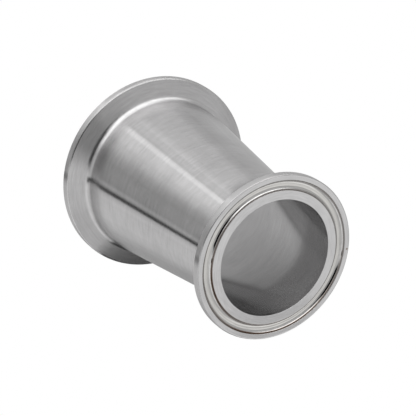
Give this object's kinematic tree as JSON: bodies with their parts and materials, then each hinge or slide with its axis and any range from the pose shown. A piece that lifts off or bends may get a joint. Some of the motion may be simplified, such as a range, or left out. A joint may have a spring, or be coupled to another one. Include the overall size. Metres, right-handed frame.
{
  "type": "sanitary concentric reducer",
  "caption": "Concentric pipe reducer with a conical body, a round clamp flange at each end, a gasket groove in each mating face and a smooth through passage.",
  "frame": {"origin": "centre of the large end's mating face, on the axis", "axes": "+Z along the axis from the large end to the small end; the part is round, so +X and +Y are any two square directions across it"},
  "size_m": [0.064, 0.064, 0.0762],
  "materials": {
    "stainless_steel": "turned and polished, with fine brush lines that run round the axis"
  },
  "bodies": {
    "root": {"reducer_body": "stainless_steel"}
  },
  "joints": []
}
